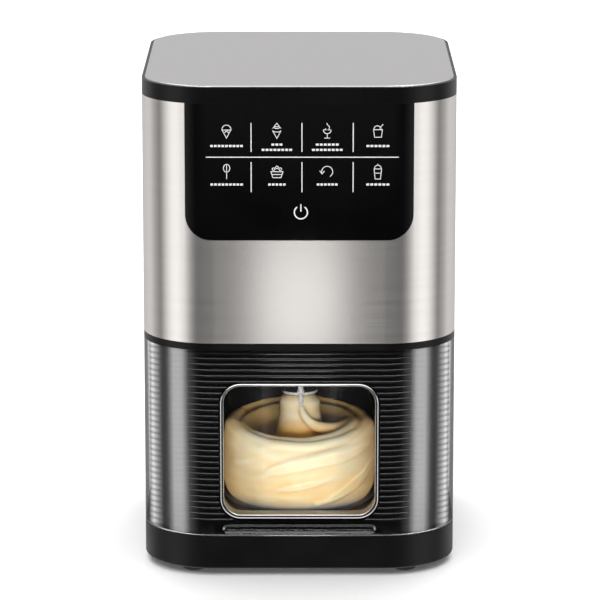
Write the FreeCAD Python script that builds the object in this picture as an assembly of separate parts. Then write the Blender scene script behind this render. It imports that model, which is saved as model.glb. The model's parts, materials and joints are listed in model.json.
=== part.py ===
"""Ice cream maker: a clear lower housing that holds a tub, and a power head that lifts off it.

Millimetres, +Z up. The origin lies on the table, below the centre of the body, and the front faces -Y.
Each function returns the shape of one physical piece, and the last section writes one file per piece.
"""
import FreeCAD, Part
import math
import os

V = FreeCAD.Vector
UP = V(0, 0, 1)

# ---- driving dimensions -------------------------------------------------------------------------
WIDTH = 180.0
DEPTH = 213.8
CORNER_R = 41.5
FRONT = -DEPTH / 2
BACK = DEPTH / 2

# heights above the table
BODY_BOTTOM = 4.0
BASE_TOP = 23.3
HOUSING_TOP = 133.2
RING_TOP = 137.3
SHELL_TOP = 275.3
BAND_TOP = 284.5
TOP = 285.3

# wall thicknesses and how far each wall lies inside the outline
BASE_WALL = 2.5
COVER_WALL = 3.0
COVER_FOOT_WALL = 4.0
COVER_FOOT_H = 6.2
STEEL_WALL = 1.0
REAR_WALL = 2.5
PANEL_WALL = 2.4
TONGUE_OUT = 2.7
TONGUE_IN = 4.7
TONGUE_H = 8.0
LEDGE_IN = 8.0
GAP = 0.2

# ribs of the liner
RIB_PITCH = 3.4
RIB_H = 1.7
RIB_TIP = 3.3
RIB_ROOT = 4.4
LINER_IN = 6.2
RIB_FIRST = 31.3

# window and control panel, seen from the front
WINDOW_HALF = 45.5
WINDOW_LOW = 32.7
WINDOW_HIGH = 113.0
WINDOW_R = 12.0
BEZEL_SIDE = 2.1
BEZEL_SILL = 2.7
BEZEL_HEAD = 1.6
BEZEL_FRONT = FRONT + 3.3
BEZEL_BACK = -94.0
PANEL_HALF = 64.5
PANEL_LOW = 197.3
PANEL_R = 14.5

# the tub, on the spindle's axis
AXIS_Y = -45.0
TUB_R = 47.5
TUB_WALL = 2.0
TUB_FLOOR = 2.5
TUB_BOTTOM = 29.0
TUB_TOP = 122.0
TUB_FILLET = 12.0
RIM_R = 49.5
RIM_H = 2.5
CHAMBER_R = 53.0
CHAMBER_WALL = 2.0
SEAT_TOP = 28.0
LUG_R = 26.0
LUG_LENGTH = 8.0
LUG_WIDTH = 6.0
LUG_H = 1.6
LUG_GAP = 0.5

# deck of the lower housing
DECK_H = 3.0
DECK_UNDER = HOUSING_TOP - DECK_H
PIN_X, PIN_Y, PIN_R = 62.0, 72.0, 4.0
POST_X, POST_FRONT_Y, POST_BACK_Y, POST_R = 70.0, -62.0, 85.0, 5.0

# feet and base screws
FOOT_X, FOOT_Y, FOOT_R = 61.0, 91.0, 6.5
SCREW_X, SCREW_Y = 76.0, 50.0

# power head: floor, gear plates, shafts
FLOOR_TOP = 140.3
BOSS_R, BOSS_BORE, BOSS_LOW, BOSS_HIGH = 14.0, 10.5, 122.0, 141.5
SEAL_LOW, SEAL_HIGH = 135.5, 140.5
LOWER_PLATE = (202.0, 205.5)
UPPER_PLATE = (222.0, 225.5)
GEAR_Z = (208.0, 218.0)
MODULE = 1.0
DRIVE_TEETH, IDLER_TEETH, PINION_TEETH = 50, 40, 12
PRESSURE_ANGLE = math.radians(25)
ADDENDUM, DEDENDUM, BACKLASH = 0.9, 1.15, 0.14
IDLER_Y = AXIS_Y + MODULE * (DRIVE_TEETH + IDLER_TEETH) / 2
MOTOR_Y = IDLER_Y + MODULE * (IDLER_TEETH + PINION_TEETH) / 2
SHAFT_GAP = 0.05
IDLER_SHAFT_R = 3.0
MOTOR_SHAFT_R = 2.5
BUSH_R = 13.0
DRIVE_HUB_R = 9.0

# spindle, carriage and feed
SPINDLE_R = 5.0
HEX_FLATS = 8.0
HEX_GAP = 0.1
SPINDLE_LOW, SOCKET_HEX_TOP, DRIVE_HEX_LOW, SPINDLE_TOP = 98.5, 109.0, 180.0, 246.0
YOKE_Z = (164.0, 174.0)
SCREW_AXIS_X = 42.0
LEAD_SCREW_R = 4.0
GUIDE_ROD_R = 4.0
GUIDE_ROD_SPREAD = 14.0

# paddle
DISC_R = 11.0
DISC_Z = (94.0, 97.5)
SLEEVE_R = 7.0
STEM_R = 4.0
BLADE_Z = (50.0, 64.0)
BLADE_R = 42.0
BLADE_BEND = 45.0
BLADE_THICK = 2.8
BLADE_COUNT = 4
MELT_GAP = 0.4

# motor
CAN_R = 28.0
CAN_WALL = 1.5
CAN_Z = (150.0, 202.0)


# ---- shape helpers ------------------------------------------------------------------------------
def rounded_rectangle(half_x, half_y, radius):
    """Closed wire of a rounded rectangle centred on the origin, in the XY plane."""
    edges = []
    corners = [(1, -1, -90), (1, 1, 0), (-1, 1, 90), (-1, -1, 180)]
    for sign_x, sign_y, start in corners:
        centre = V(sign_x * (half_x - radius), sign_y * (half_y - radius), 0)
        edges.append(Part.makeCircle(radius, centre, UP, start, start + 90))
    sides = []
    for first, second in zip(edges, edges[1:] + edges[:1]):
        sides.append(Part.makeLine(first.valueAt(first.LastParameter), second.valueAt(second.FirstParameter)))
    return Part.Wire(Part.__sortEdges__(edges + sides))


def prism(inset, low, high):
    """The body's outline, moved inwards by inset, between two heights."""
    wire = rounded_rectangle(WIDTH / 2 - inset, DEPTH / 2 - inset, CORNER_R - inset)
    solid = Part.Face(wire).extrude(V(0, 0, high - low))
    solid.translate(V(0, 0, low))
    return solid


def band(outer_inset, inner_inset, low, high):
    """A wall that follows the body's outline."""
    return prism(outer_inset, low, high).cut(prism(inner_inset, low, high))


def front_prism(half_x, low, high, radius, y_front, y_back):
    """A rounded rectangle seen from the front, running from y_front to y_back."""
    wire = rounded_rectangle(half_x, (high - low) / 2, radius)
    solid = Part.Face(wire).extrude(V(0, 0, y_back - y_front))
    solid.rotate(V(0, 0, 0), V(1, 0, 0), 90)
    solid.translate(V(0, y_back, (low + high) / 2))
    return solid


def block(x0, x1, y0, y1, z0, z1):
    return Part.makeBox(x1 - x0, y1 - y0, z1 - z0, V(x0, y0, z0))


def rod(x, y, radius, low, high):
    return Part.makeCylinder(radius, high - low, V(x, y, low), UP)


def tube(x, y, bore, radius, low, high):
    return rod(x, y, radius, low, high).cut(rod(x, y, bore, low, high))


def pin_along_y(x, z, radius, y0, y1):
    return Part.makeCylinder(radius, y1 - y0, V(x, y0, z), V(0, 1, 0))


def hexagon(x, y, flats, low, high):
    """A hexagonal bar with the given distance across flats."""
    radius = flats / 2 / math.cos(math.radians(30))
    points = []
    for k in range(7):
        angle = math.radians(60 * k)
        points.append(V(x + radius * math.cos(angle), y + radius * math.sin(angle), low))
    return Part.Face(Part.makePolygon(points)).extrude(V(0, 0, high - low))


def joined(shapes):
    """One solid from shapes that overlap or touch."""
    return shapes[0].multiFuse(shapes[1:]).removeSplitter()


def group(shapes):
    return Part.makeCompound(shapes)


def revolved(profile):
    """A solid turned about the spindle's axis from a closed wire drawn in (radius, height)."""
    solid = Part.Face(profile).revolve(V(0, 0, 0), UP, 360)
    solid.translate(V(0, AXIS_Y, 0))
    return solid


def line(a, b):
    return Part.makeLine(V(a[0], 0, a[1]), V(b[0], 0, b[1]))


def quarter_turn(centre, radius, start):
    """A quarter circle in the (radius, height) plane, anticlockwise from start degrees."""
    points = []
    for angle in (start, start + 45, start + 90):
        turn = math.radians(angle)
        points.append(V(centre[0] + radius * math.cos(turn), 0, centre[1] + radius * math.sin(turn)))
    return Part.Arc(*points).toShape()


def soften(solid, radius, wanted):
    """Round the edges that wanted(edge) picks."""
    return solid.makeFillet(radius, [edge for edge in solid.Edges if wanted(edge)])


def lies_at(height):
    """A test for edges that lie flat at one height."""
    def test(edge):
        return abs(edge.BoundBox.ZMin - height) < 0.01 and abs(edge.BoundBox.ZMax - height) < 0.01
    return test


def four(x, y_front, y_back):
    return [(-x, y_front), (x, y_front), (-x, y_back), (x, y_back)]


def spread(shape, count):
    """The shape and its copies, evenly turned about the spindle's axis."""
    copies = []
    for k in range(count):
        copy = shape.copy()
        copy.rotate(V(0, AXIS_Y, 0), UP, 360.0 * k / count)
        copies.append(copy)
    return copies


# ---- gears --------------------------------------------------------------------------------------
def involute_gear(teeth, phase, x, y, low, high):
    """A spur gear with a tooth centred on the phase angle, in degrees."""
    pitch_r = MODULE * teeth / 2
    base_r = pitch_r * math.cos(PRESSURE_ANGLE)
    tip_r = pitch_r + ADDENDUM * MODULE
    root_r = pitch_r - DEDENDUM * MODULE
    start_r = max(base_r, root_r)
    roll = math.tan(PRESSURE_ANGLE) - PRESSURE_ANGLE
    half_tooth = math.pi / 2 / teeth - BACKLASH / 2 / pitch_r

    def flank_angle(radius):
        """Half the angle that the tooth takes up at a radius."""
        pressure = math.acos(min(1.0, base_r / radius))
        return half_tooth + roll - (math.tan(pressure) - pressure)

    def at(radius, angle):
        return V(radius * math.cos(angle), radius * math.sin(angle), 0)

    steps = 5
    radii = [start_r + (tip_r - start_r) * k / (steps - 1) for k in range(steps)]
    edges = []
    for tooth in range(teeth):
        middle = math.radians(phase) + 2 * math.pi * tooth / teeth
        following = middle + 2 * math.pi / teeth
        rising = [at(r, middle - flank_angle(r)) for r in radii]
        falling = [at(r, middle + flank_angle(r)) for r in reversed(radii)]
        foot = flank_angle(start_r)
        root_a, root_b = at(root_r, middle + foot), at(root_r, following - foot)
        for points in (rising, falling):
            curve = Part.BSplineCurve()
            curve.interpolate(points)
            edges.append(curve.toShape())
        edges.append(Part.Arc(rising[-1], at(tip_r, middle), falling[0]).toShape())
        if start_r > root_r:
            edges.append(Part.makeLine(falling[-1], root_a))
            edges.append(Part.makeLine(root_b, at(start_r, following - foot)))
        edges.append(Part.Arc(root_a, at(root_r, middle + math.pi / teeth), root_b).toShape())
    gear = Part.Face(Part.Wire(Part.__sortEdges__(edges))).extrude(V(0, 0, high - low))
    gear.translate(V(x, y, low))
    return gear


# ---- lower housing ------------------------------------------------------------------------------
BOSS_TOP = BASE_TOP - BASE_WALL
PLATE_LOW, PLATE_HIGH = 4.6, 7.0
HEAD_R, HEAD_H = 3.4, 1.6
BASE_SCREWS = four(SCREW_X, -SCREW_Y, SCREW_Y)
FEET = four(FOOT_X, -FOOT_Y, FOOT_Y)


def base_shell():
    solid = soften(prism(0, BODY_BOTTOM, BASE_TOP), 1.2, lies_at(BODY_BOTTOM))
    solid = solid.cut(prism(BASE_WALL, BODY_BOTTOM, BOSS_TOP))
    bosses = [rod(x, y, 5.0, PLATE_HIGH, BOSS_TOP) for x, y in BASE_SCREWS]
    holes = [rod(x, y, 1.5, PLATE_HIGH, 18.0) for x, y in BASE_SCREWS]
    return joined([solid] + bosses).cut(group(holes))


def base_plate():
    solid = prism(BASE_WALL + GAP, PLATE_LOW, PLATE_HIGH)
    cuts = [rod(x, y, FOOT_R + GAP, PLATE_LOW, 6.0) for x, y in FEET]
    for x, y in BASE_SCREWS:
        cuts.append(rod(x, y, 1.5 + GAP, PLATE_LOW, PLATE_HIGH))
        cuts.append(rod(x, y, HEAD_R + GAP, PLATE_LOW, PLATE_LOW + HEAD_H))
    return solid.cut(group(cuts))


def base_screws():
    screws = []
    for x, y in BASE_SCREWS:
        head = rod(x, y, HEAD_R, PLATE_LOW, PLATE_LOW + HEAD_H)
        shank = rod(x, y, 1.5, PLATE_LOW + HEAD_H, 17.0)
        cross = [block(x - 2, x + 2, y - 0.4, y + 0.4, PLATE_LOW, PLATE_LOW + 0.8),
                 block(x - 0.4, x + 0.4, y - 2, y + 2, PLATE_LOW, PLATE_LOW + 0.8)]
        screws.append(joined([head, shank]).cut(group(cross)))
    return group(screws)


def feet():
    return group([soften(rod(x, y, FOOT_R, 0, 6.0), 1.0, lies_at(0)) for x, y in FEET])


def lug(extra):
    """One of the blocks that key the tub to its seat, grown by extra."""
    half = LUG_WIDTH / 2 + extra
    low = TUB_BOTTOM - LUG_H - extra
    inner, outer = LUG_R - LUG_LENGTH / 2 - extra, LUG_R + LUG_LENGTH / 2 + extra
    return block(inner, outer, AXIS_Y - half, AXIS_Y + half, low, TUB_BOTTOM + 1.0)


def tub_seat():
    disc = rod(0, AXIS_Y, CHAMBER_R - GAP, BASE_TOP, SEAT_TOP)
    return disc.cut(group(spread(lug(LUG_GAP), 4)))


def seat_pad():
    return tube(0, AXIS_Y, LUG_R + LUG_LENGTH / 2 + 1.0, 34.5, SEAT_TOP, TUB_BOTTOM)


def window_cut():
    """The hole that the window's bezel passes through."""
    return front_prism(WINDOW_HALF + GAP, WINDOW_LOW - GAP, WINDOW_HIGH + GAP, WINDOW_R + GAP, FRONT, -60.0)


def chamber_wall():
    return tube(0, AXIS_Y, CHAMBER_R, CHAMBER_R + CHAMBER_WALL, BASE_TOP, DECK_UNDER).cut(window_cut())


def ribbed_liner():
    pieces = [band(RIB_ROOT, LINER_IN, BASE_TOP, HOUSING_TOP)]
    count = int((HOUSING_TOP - RIB_FIRST) // RIB_PITCH)
    for k in range(count):
        low = RIB_FIRST + k * RIB_PITCH
        pieces.append(band(RIB_TIP, RIB_ROOT, low, low + RIB_H))
    return joined(pieces).cut(window_cut())


def window_bezel():
    outer = front_prism(WINDOW_HALF, WINDOW_LOW, WINDOW_HIGH, WINDOW_R, BEZEL_FRONT, BEZEL_BACK)
    inner = front_prism(WINDOW_HALF - BEZEL_SIDE, WINDOW_LOW + BEZEL_SILL, WINDOW_HIGH - BEZEL_HEAD,
                        WINDOW_R - BEZEL_SIDE, BEZEL_FRONT, BEZEL_BACK)
    return outer.cut(inner)


def clear_cover():
    foot_top = BASE_TOP + COVER_FOOT_H
    solid = band(0, COVER_WALL, BASE_TOP, HOUSING_TOP)
    solid = joined([solid, band(COVER_WALL, COVER_FOOT_WALL, BASE_TOP, foot_top)])
    groove_r, groove_depth, groove_half, groove_z = 4.35, 1.2, 41.0, 28.0
    y = FRONT - groove_r + groove_depth
    groove = Part.makeCylinder(groove_r, 2 * groove_half, V(-groove_half, y, groove_z), V(1, 0, 0))
    ends = [Part.makeSphere(groove_r, V(x, y, groove_z)) for x in (-groove_half, groove_half)]
    return solid.cut(joined([groove] + ends))


def deck_plate():
    solid = prism(LINER_IN + GAP, DECK_UNDER, HOUSING_TOP)
    cuts = [rod(0, AXIS_Y, CHAMBER_R, DECK_UNDER, HOUSING_TOP)]
    cuts += [rod(x, PIN_Y, PIN_R, DECK_UNDER, HOUSING_TOP) for x in (-PIN_X, PIN_X)]
    return solid.cut(group(cuts))


def deck_posts():
    return group([rod(x, y, POST_R, BASE_TOP, DECK_UNDER) for x, y in four(POST_X, POST_FRONT_Y, POST_BACK_Y)])


def locating_pins():
    tip = FLOOR_TOP + 1.7
    pins = [soften(rod(x, PIN_Y, PIN_R, DECK_UNDER, tip), 2.0, lies_at(tip)) for x in (-PIN_X, PIN_X)]
    return group(pins)


MAGNET_X, MAGNET_Y, MAGNET_SIZE = 60.0, 44.0, 6.0


def interlock_magnet():
    half = MAGNET_SIZE / 2
    return block(MAGNET_X - half, MAGNET_X + half, MAGNET_Y - half, MAGNET_Y + half, DECK_UNDER - 3, DECK_UNDER)


# ---- tub and what is in it ----------------------------------------------------------------------
def tub():
    flat_r = TUB_R - TUB_FILLET
    inner_r = TUB_R - TUB_WALL
    fillet_in = inner_r - flat_r
    floor_top = TUB_BOTTOM + TUB_FLOOR
    rim_low = TUB_TOP - RIM_H
    edges = [
        line((0, TUB_BOTTOM), (flat_r, TUB_BOTTOM)),
        quarter_turn((flat_r, TUB_BOTTOM + TUB_FILLET), TUB_FILLET, 270),
        line((TUB_R, TUB_BOTTOM + TUB_FILLET), (TUB_R, rim_low)),
        line((TUB_R, rim_low), (RIM_R, rim_low)),
        line((RIM_R, rim_low), (RIM_R, TUB_TOP)),
        line((RIM_R, TUB_TOP), (inner_r, TUB_TOP)),
        line((inner_r, TUB_TOP), (inner_r, floor_top + fillet_in)),
        quarter_turn((flat_r, floor_top + fillet_in), fillet_in, 270),
        line((flat_r, floor_top), (0, floor_top)),
        line((0, floor_top), (0, TUB_BOTTOM)),
    ]
    bowl = revolved(Part.Wire(Part.__sortEdges__(edges)))
    return joined([bowl] + spread(lug(0), 4))


def ice_cream():
    """The dessert: a hollow ring with a peak in the middle, cut clear of the paddle."""
    outer_r = TUB_R - TUB_WALL - MELT_GAP / 2
    low = TUB_BOTTOM + TUB_FLOOR
    bottom_r = TUB_R - TUB_FILLET - 1.0
    corner = outer_r - bottom_r
    surface = [(outer_r, 82.0), (41.0, 84.0), (33.0, 80.5), (25.0, 72.0), (17.0, 72.0), (12.5, 80.0),
               (10.5, 88.0), (9.5, 93.4)]
    curve = Part.BSplineCurve()
    curve.interpolate([V(r, 0, z) for r, z in surface])
    edges = [
        line((0, low), (bottom_r, low)),
        quarter_turn((bottom_r, low + corner), corner, 270),
        line((outer_r, low + corner), surface[0]),
        curve.toShape(),
        line(surface[-1], (0, surface[-1][1])),
        line((0, surface[-1][1]), (0, low)),
    ]
    body = revolved(Part.Wire(Part.__sortEdges__(edges)))
    return body.cut(paddle_blades(MELT_GAP)).cut(paddle_pin(MELT_GAP))


# ---- paddle and spindle -------------------------------------------------------------------------
def paddle_blades(grow):
    """Sleeve, stem and four curved blades, grown by grow on every side."""
    low, high = BLADE_Z[0] - grow, BLADE_Z[1] + grow
    radius = BLADE_R + grow
    corner = 12.0
    edges = [
        line((0, low), (radius - corner, low)),
        quarter_turn((radius - corner, low + corner), corner, 270),
        line((radius, low + corner), (radius, high)),
        line((radius, high), (0, high)),
        line((0, high), (0, low)),
    ]
    envelope = revolved(Part.Wire(Part.__sortEdges__(edges)))
    half = BLADE_THICK / 2 + grow
    bend = tube(0, AXIS_Y + BLADE_BEND, BLADE_BEND - half, BLADE_BEND + half, low, high)
    blade = bend.common(envelope).common(block(0, 50, AXIS_Y - 10, AXIS_Y + 50, low, high))
    stem = rod(0, AXIS_Y, STEM_R + grow, low, DISC_Z[0])
    sleeve = rod(0, AXIS_Y, SLEEVE_R + grow, DISC_Z[0] - 4.0, 110.0)
    return joined([stem, sleeve] + spread(blade, BLADE_COUNT))


def paddle():
    socket = hexagon(0, AXIS_Y, HEX_FLATS + 2 * HEX_GAP, SPINDLE_LOW - 0.2, 110.0)
    return paddle_blades(0).cut(socket)


PADDLE_PIN_R = 1.6
PADDLE_PIN_X = 0.8


def paddle_pin(grow):
    """The pin at the front of the paddle's disc."""
    return rod(PADDLE_PIN_X, AXIS_Y - DISC_R + 0.6, PADDLE_PIN_R + grow, 89.0 - grow, 101.0)


def paddle_hub():
    rim = 1.5
    disc = soften(rod(0, AXIS_Y, DISC_R, *DISC_Z), rim, lambda edge: lies_at(DISC_Z[0])(edge) or
                  lies_at(DISC_Z[1])(edge))
    return joined([disc, paddle_pin(0)]).cut(rod(0, AXIS_Y, SLEEVE_R, *DISC_Z))


def spindle():
    lower = hexagon(0, AXIS_Y, HEX_FLATS, SPINDLE_LOW, SOCKET_HEX_TOP)
    middle = rod(0, AXIS_Y, SPINDLE_R, 110.5, DRIVE_HEX_LOW)
    neck = rod(0, AXIS_Y, HEX_FLATS / 2, SOCKET_HEX_TOP, 110.5)
    upper = hexagon(0, AXIS_Y, HEX_FLATS, DRIVE_HEX_LOW, SPINDLE_TOP)
    return joined([lower, neck, middle, upper])


COLLAR_H = 2.7
COLLAR_GAP = 0.3


def thrust_collars():
    low = YOKE_Z[0] - COLLAR_GAP - COLLAR_H
    high = YOKE_Z[1] + COLLAR_GAP
    return group([tube(0, AXIS_Y, SPINDLE_R, 9.0, z, z + COLLAR_H) for z in (low, high)])


# ---- carriage and feed --------------------------------------------------------------------------
GUIDE_RODS = [(-SCREW_AXIS_X, AXIS_Y - GUIDE_ROD_SPREAD), (-SCREW_AXIS_X, AXIS_Y + GUIDE_ROD_SPREAD)]
NUT_R = 7.0


def carriage_yoke():
    x, low, high = SCREW_AXIS_X, YOKE_Z[0], YOKE_Z[1]
    arm = block(-x, x, AXIS_Y - 6, AXIS_Y + 6, low, high)
    end = block(-x - 7, -x + 7, AXIS_Y - 22, AXIS_Y + 22, low, high)
    solid = joined([arm, end, rod(0, AXIS_Y, 13.0, low, high), rod(x, AXIS_Y, 11.0, low, high)])
    cuts = [rod(0, AXIS_Y, 9.0, low, high), rod(x, AXIS_Y, NUT_R, low, high)]
    cuts += [rod(a, b, GUIDE_ROD_R + SHAFT_GAP, low, high) for a, b in GUIDE_RODS]
    return solid.cut(group(cuts))


def feed_nut():
    low, high = YOKE_Z
    body = joined([rod(SCREW_AXIS_X, AXIS_Y, NUT_R, low, high), rod(SCREW_AXIS_X, AXIS_Y, 9.5, low - 2.5, low)])
    return body.cut(rod(SCREW_AXIS_X, AXIS_Y, LEAD_SCREW_R + SHAFT_GAP, low - 2.5, high))


def spindle_bush():
    return tube(0, AXIS_Y, SPINDLE_R + SHAFT_GAP, 9.0, *YOKE_Z)


def guide_rods():
    return group([rod(x, y, GUIDE_ROD_R, RING_TOP, LOWER_PLATE[1]) for x, y in GUIDE_RODS])


FEED_CAN = (LOWER_PLATE[1], 240.0)


def lead_screw():
    return rod(SCREW_AXIS_X, AXIS_Y, LEAD_SCREW_R, 138.0, 237.0)


def feed_rotor():
    return tube(SCREW_AXIS_X, AXIS_Y, LEAD_SCREW_R, 8.0, 212.0, 234.0)


def feed_motor_can():
    low, high = FEED_CAN
    can = rod(SCREW_AXIS_X, AXIS_Y, 12.0, low, high)
    can = can.cut(rod(SCREW_AXIS_X, AXIS_Y, 10.5, low + 1.5, high - 1.5))
    return can.cut(rod(SCREW_AXIS_X, AXIS_Y, LEAD_SCREW_R + SHAFT_GAP, low, low + 1.5))


# ---- gear train and main motor ------------------------------------------------------------------
def drive_gear():
    teeth = involute_gear(DRIVE_TEETH, 90, 0, AXIS_Y, *GEAR_Z)
    hub = rod(0, AXIS_Y, DRIVE_HUB_R, LOWER_PLATE[0], UPPER_PLATE[1])
    bore = hexagon(0, AXIS_Y, HEX_FLATS + 2 * HEX_GAP, LOWER_PLATE[0], UPPER_PLATE[1])
    return joined([teeth, hub]).cut(bore)


def idler_gear():
    half_pitch = 180.0 / IDLER_TEETH
    teeth = involute_gear(IDLER_TEETH, -90 + half_pitch, 0, IDLER_Y, *GEAR_Z)
    return teeth.cut(rod(0, IDLER_Y, IDLER_SHAFT_R + SHAFT_GAP, *GEAR_Z))


def motor_pinion():
    teeth = involute_gear(PINION_TEETH, -90, 0, MOTOR_Y, *GEAR_Z)
    return teeth.cut(rod(0, MOTOR_Y, MOTOR_SHAFT_R, *GEAR_Z))


def idler_shaft():
    return rod(0, IDLER_Y, IDLER_SHAFT_R, LOWER_PLATE[0], UPPER_PLATE[1])


def gear_bushes():
    bore = DRIVE_HUB_R + SHAFT_GAP
    return group([tube(0, AXIS_Y, bore, BUSH_R, *plate) for plate in (LOWER_PLATE, UPPER_PLATE)])


LOWER_POSTS = four(46.0, -78.0, 48.0)
UPPER_POSTS = [(0, -77.0), (-15.0, 40.0), (15.0, 40.0)]
POST_SCREW_R = 1.5


def lower_gear_plate():
    low, high = LOWER_PLATE
    solid = block(-54, 54, -84, 58, low, high)
    cuts = [rod(0, AXIS_Y, BUSH_R, low, high), rod(0, IDLER_Y, IDLER_SHAFT_R, low, high),
            rod(0, MOTOR_Y, 6.0, low, high), rod(SCREW_AXIS_X, AXIS_Y, 6.0, low, high)]
    cuts += [rod(x, y, GUIDE_ROD_R, low, high) for x, y in GUIDE_RODS]
    cuts += [rod(x, y, POST_SCREW_R, low, high) for x, y in LOWER_POSTS]
    return solid.cut(group(cuts))


def upper_gear_plate():
    low, high = UPPER_PLATE
    solid = block(-20, 20, -82, 46, low, high)
    cuts = [rod(0, AXIS_Y, BUSH_R, low, high), rod(0, IDLER_Y, IDLER_SHAFT_R, low, high),
            rod(0, MOTOR_Y, 4.0, low, high)]
    cuts += [rod(x, y, POST_SCREW_R, low, high) for x, y in UPPER_POSTS]
    return solid.cut(group(cuts))


POST_SCREW_LENGTH = 10.0


def plate_posts():
    posts = [tall_post(x, y, 4.0, FLOOR_TOP, LOWER_PLATE[0]) for x, y in LOWER_POSTS]
    posts += [tall_post(x, y, 3.0, LOWER_PLATE[1], UPPER_PLATE[0]) for x, y in UPPER_POSTS]
    return group(posts)


def tall_post(x, y, radius, low, high):
    """A pillar with a blind hole in its top for a screw."""
    return rod(x, y, radius, low, high).cut(rod(x, y, POST_SCREW_R, high - POST_SCREW_LENGTH, high))


def plate_screws():
    screws = []
    for posts, plate in ((LOWER_POSTS, LOWER_PLATE), (UPPER_POSTS, UPPER_PLATE)):
        for x, y in posts:
            shank = rod(x, y, POST_SCREW_R, plate[0] - POST_SCREW_LENGTH + 1.0, plate[1])
            screws.append(joined([shank, rod(x, y, 3.0, plate[1], plate[1] + 2.0)]))
    return group(screws)


BELL_LOW = 146.0
MOTOR_BUSH_R = 6.0


def motor_can():
    low, high = CAN_Z
    can = rod(0, MOTOR_Y, CAN_R, low, high).cut(rod(0, MOTOR_Y, CAN_R - CAN_WALL, low, high - CAN_WALL))
    return can.cut(rod(0, MOTOR_Y, MOTOR_BUSH_R, high - CAN_WALL, high))


def motor_end_bell():
    return tube(0, MOTOR_Y, MOTOR_BUSH_R, CAN_R, BELL_LOW, CAN_Z[0])


def motor_bushes():
    bore = MOTOR_SHAFT_R + SHAFT_GAP
    return group([tube(0, MOTOR_Y, bore, MOTOR_BUSH_R, CAN_Z[1] - CAN_WALL, CAN_Z[1]),
                  tube(0, MOTOR_Y, bore, MOTOR_BUSH_R, BELL_LOW, CAN_Z[0])])


def motor_magnets():
    ring = tube(0, MOTOR_Y, 20.0, CAN_R - CAN_WALL, 158.0, 194.0)
    halves = ring.cut(block(-5, 5, MOTOR_Y - 40, MOTOR_Y + 40, 158.0, 194.0))
    return group(halves.Solids)


def motor_shaft():
    return rod(0, MOTOR_Y, MOTOR_SHAFT_R, 144.0, 240.0)


def motor_armature():
    """The laminated core, with twelve winding slots."""
    low, high, radius = 160.0, 192.0, 17.0
    core = tube(0, MOTOR_Y, MOTOR_SHAFT_R, radius, low, high)
    slots = []
    for k in range(12):
        slot = block(9.0, radius + 1, MOTOR_Y - 1.5, MOTOR_Y + 1.5, low, high)
        slot.rotate(V(0, MOTOR_Y, 0), UP, 30.0 * k)
        slots.append(slot)
    return core.cut(group(slots))


def cooling_fan():
    low, high, radius = 229.0, 239.0, 26.0
    hub = rod(0, MOTOR_Y, 8.0, low, high)
    blades = []
    for k in range(9):
        blade = block(6.0, radius, MOTOR_Y - 0.6, MOTOR_Y + 0.6, low + 1, high - 1)
        blade.rotate(V(0, MOTOR_Y, (low + high) / 2), V(1, 0, 0), 35)
        blade.rotate(V(0, MOTOR_Y, 0), UP, 40.0 * k)
        blades.append(blade)
    return joined([hub] + blades).cut(rod(0, MOTOR_Y, MOTOR_SHAFT_R, low, high))


# ---- casing of the power head -------------------------------------------------------------------
def mid_ring():
    pieces = [band(0, LEDGE_IN, HOUSING_TOP, RING_TOP), band(TONGUE_OUT, TONGUE_IN, RING_TOP, RING_TOP + TONGUE_H)]
    return joined(pieces).cut(group(rear_screw_holes()))


def head_floor():
    solid = prism(TONGUE_IN + GAP, RING_TOP, FLOOR_TOP)
    solid = joined([solid, rod(0, AXIS_Y, BOSS_R, BOSS_LOW, BOSS_HIGH)])
    cuts = [rod(0, AXIS_Y, BOSS_BORE, BOSS_LOW, BOSS_HIGH),
            rod(SCREW_AXIS_X, AXIS_Y, LEAD_SCREW_R + SHAFT_GAP, RING_TOP, FLOOR_TOP)]
    cuts += [rod(x, PIN_Y, PIN_R + 0.4, RING_TOP, FLOOR_TOP) for x in (-PIN_X, PIN_X)]
    cuts += [rod(x, y, GUIDE_ROD_R, RING_TOP, FLOOR_TOP) for x, y in GUIDE_RODS]
    return solid.cut(group(cuts))


def spindle_seal():
    return tube(0, AXIS_Y, SPINDLE_R + SHAFT_GAP, BOSS_BORE, SEAL_LOW, SEAL_HIGH)


GUARD_LOW, GUARD_HIGH = 122.6, 124.8


def splash_guard():
    """The lid over the tub: a disc with a skirt around the rim and a collar on the floor's boss."""
    disc = rod(0, AXIS_Y, 51.9, GUARD_LOW, GUARD_HIGH)
    skirt = tube(0, AXIS_Y, 50.1, 51.9, 117.0, GUARD_HIGH)
    collar = rod(0, AXIS_Y, BOSS_R + 2.5, GUARD_LOW, 131.0)
    return joined([disc, skirt, collar]).cut(rod(0, AXIS_Y, BOSS_R, GUARD_LOW, 131.0))


def guard_seal():
    return tube(0, AXIS_Y, 46.0, 49.0, TUB_TOP, GUARD_LOW)


def panel_cut(grow):
    """The shape of the control panel seen from the front, open at the top."""
    return front_prism(PANEL_HALF + grow, PANEL_LOW - grow, SHELL_TOP + 40.0, PANEL_R + grow, FRONT - 1, -60.0)


REAR_HALF = 60.0


def steel_shell():
    wall = band(0, STEEL_WALL, RING_TOP, SHELL_TOP)
    rear = block(-REAR_HALF - GAP, REAR_HALF + GAP, 60, BACK + 1, RING_TOP, SHELL_TOP)
    return wall.cut(group([rear, panel_cut(0.15)]))


REAR_SCREWS = [(x, z) for x in (-40.0, 40.0) for z in (142.0, 271.0)]


def rear_screw_holes():
    return [pin_along_y(x, z, 1.25, BACK - 12, BACK) for x, z in REAR_SCREWS]


INLET_HALF = 14.0
INLET_Z = (148.0, 168.0)
INLET_WALL = 2.0
INLET_BACK = 84.0


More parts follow.
